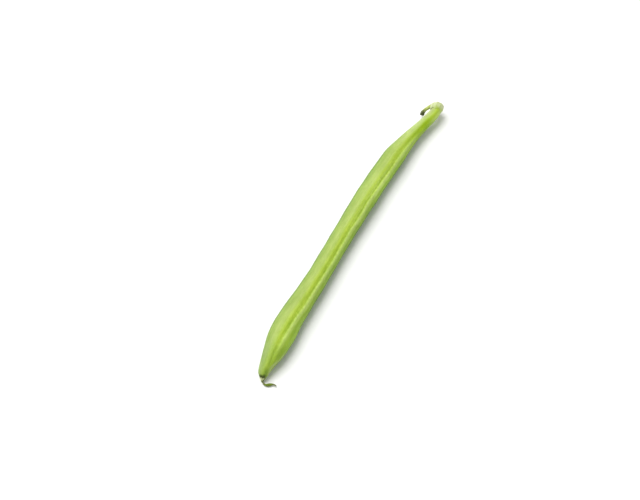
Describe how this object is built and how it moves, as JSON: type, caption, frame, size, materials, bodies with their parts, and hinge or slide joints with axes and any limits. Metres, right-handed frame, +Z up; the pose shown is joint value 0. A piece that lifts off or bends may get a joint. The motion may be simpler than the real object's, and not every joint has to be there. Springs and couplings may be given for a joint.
{
  "type": "green bean",
  "caption": "Fresh snap bean pod lying on its side, gently bowed, with a grooved upper seam, a swollen beaked tip with a curled tail, and a hooked stalk at its stem end.",
  "frame": {"origin": "middle of the bean's footprint box, on the surface that the bean lies on", "axes": "+X along the bean to its stem end, -X to its beaked tip, +Y to the side that the bean's middle bows towards, +Z up"},
  "size_m": [0.1618, 0.0156, 0.0096],
  "materials": {
    "pod_skin": null,
    "calyx_skin": "matte pale green plant tissue; matte plastic stands in",
    "stalk_skin": "matte olive green stalk, browned at its broken end; matte plastic stands in"
  },
  "bodies": {
    "root": {"pod": "pod_skin", "calyx": "calyx_skin", "pedicel": "stalk_skin"}
  },
  "joints": []
}
